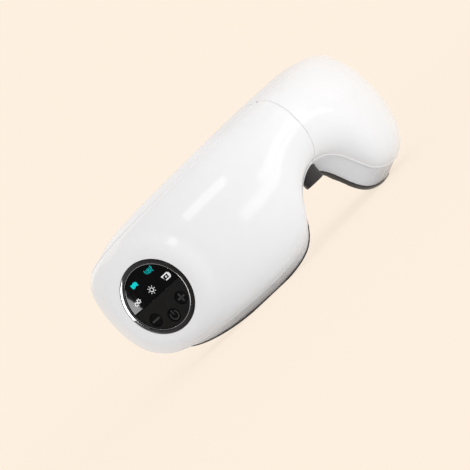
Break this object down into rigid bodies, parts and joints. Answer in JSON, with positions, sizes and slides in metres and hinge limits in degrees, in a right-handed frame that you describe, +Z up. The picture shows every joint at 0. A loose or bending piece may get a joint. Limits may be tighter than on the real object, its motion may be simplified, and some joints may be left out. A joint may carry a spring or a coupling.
{
  "type": "eye massager",
  "caption": "Folding wrap-round eye massager with a glossy shell, a round control panel on one temple and a cushioned face side.",
  "frame": {"origin": "centre of the bounding box in plan, on the plane of the flats under the two lobes", "axes": "+X to the viewer's right, +Y towards the wearer's face, +Z up as worn"},
  "size_m": [0.2082, 0.105, 0.0792],
  "materials": {
    "shell_white": "high-gloss white shell plastic",
    "black_plastic": "satin black moulded plastic",
    "face_leather": "soft black imitation leather over foam",
    "pad_fabric": "dark grey breathable mesh fabric",
    "soft_rubber": "soft black rubber",
    "heating_film": "thin printed film",
    "bezel_black": "polished dark ring with a bright edge",
    "display_black": "polished black window",
    "keypad_dark": "fine matt dark grey",
    "button_black": "matt near-black button",
    "guide_white": "translucent white light guide",
    "board_green": "green circuit board",
    "steel": "plain steel",
    "cell_silver": "silver pouch foil",
    "brass": "plain brass"
  },
  "bodies": {
    "left_half": {"front_cover_left": "shell_white", "rim_frame_left": "shell_white", "rear_frame_left": "black_plastic", "frame_screw_left_1": "steel", "frame_screw_left_2": "steel", "frame_screw_left_3": "steel", "face_cushion_left": "face_leather", "temple_pad_left": "pad_fabric", "airbag_left": "soft_rubber", "hinge_leaf_left": "steel", "hinge_pin": "steel", "hinge_cap_lower": "black_plastic", "hinge_cap_upper": "black_plastic", "hinge_boot": "soft_rubber", "panel_bezel": "bezel_black", "display_window": "display_black", "keypad_plate": "keypad_dark", "tact_switch_minus": "steel", "tact_switch_power": "steel", "tact_switch_plus": "steel", "light_guide": "guide_white", "control_board": "board_green", "main_board": "board_green", "speaker": "black_plastic", "vibration_motor_left": "steel"},
    "right_half": {"front_cover_right": "shell_white", "rim_frame_right": "shell_white", "rear_frame_right": "black_plastic", "frame_screw_right_1": "steel", "frame_screw_right_2": "steel", "frame_screw_right_3": "steel", "face_cushion_right": "face_leather", "temple_pad_right": "pad_fabric", "airbag_right": "soft_rubber", "hinge_leaf_right": "steel", "battery_cell": "cell_silver", "charging_socket": "steel", "pump_motor": "steel", "pump_head": "black_plastic", "valve_body": "black_plastic", "vibration_motor_right": "steel"},
    "minus_key": {"minus_button": "button_black"},
    "power_key": {"power_button": "button_black"},
    "plus_key": {"plus_button": "button_black"},
    "eye_pad_left_body": {"eye_pad_left": "pad_fabric", "heating_film_left": "heating_film"},
    "eye_pad_right_body": {"eye_pad_right": "pad_fabric", "heating_film_right": "heating_film"},
    "pump_crank_body": {"pump_crank": "guide_white"},
    "valve_plunger_body": {"valve_plunger": "brass"},
    "weight_left_body": {"vibration_weight_left": "brass"},
    "weight_right_body": {"vibration_weight_right": "brass"}
  },
  "joints": [
    {"name": "fold", "type": "hinge", "parent": "left_half", "child": "right_half", "pos_m": [0.00073, -0.02884, 0.0535], "axis": [0, 0, 1], "range_deg": [0, 75], "deforming": ["hinge_boot"]},
    {"name": "minus_press", "type": "slide", "parent": "left_half", "child": "minus_key", "axis": [0.9239, 0.3827, 0], "range_m": [0, 0.0004], "stiffness_N_per_m": 4000},
    {"name": "power_press", "type": "slide", "parent": "left_half", "child": "power_key", "axis": [0.9239, 0.3827, 0], "range_m": [0, 0.0004], "stiffness_N_per_m": 4000},
    {"name": "plus_press", "type": "slide", "parent": "left_half", "child": "plus_key", "axis": [0.9239, 0.3827, 0], "range_m": [0, 0.0004], "stiffness_N_per_m": 4000},
    {"name": "eye_pad_left_push", "type": "slide", "parent": "left_half", "child": "eye_pad_left_body", "axis": [0.5186, 0.855, 0], "range_m": [0, 0.005], "stiffness_N_per_m": 400, "deforming": ["airbag_left"]},
    {"name": "eye_pad_right_push", "type": "slide", "parent": "right_half", "child": "eye_pad_right_body", "axis": [-0.5186, 0.855, 0], "range_m": [0, 0.005], "stiffness_N_per_m": 400, "deforming": ["airbag_right"]},
    {"name": "pump_spin", "type": "hinge", "parent": "right_half", "child": "pump_crank_body", "pos_m": [0.04923, -0.02304, 0.042], "axis": [0.8707, 0.4918, 0], "continuous": true},
    {"name": "valve_drop", "type": "slide", "parent": "right_half", "child": "valve_plunger_body", "axis": [0, 0, -1], "range_m": [0, 0.0012], "stiffness_N_per_m": 200},
    {"name": "weight_left_spin", "type": "hinge", "parent": "left_half", "child": "weight_left_body", "pos_m": [-0.05664, -0.01234, 0.06], "axis": [0.7892, -0.6142, 0], "continuous": true},
    {"name": "weight_right_spin", "type": "hinge", "parent": "right_half", "child": "weight_right_body", "pos_m": [0.0581, -0.01234, 0.06], "axis": [0.7892, 0.6142, 0], "continuous": true}
  ],
  "couplings": [
    {"joint": "eye_pad_right_push", "follows": "eye_pad_left_push", "ratio": 1}
  ]
}
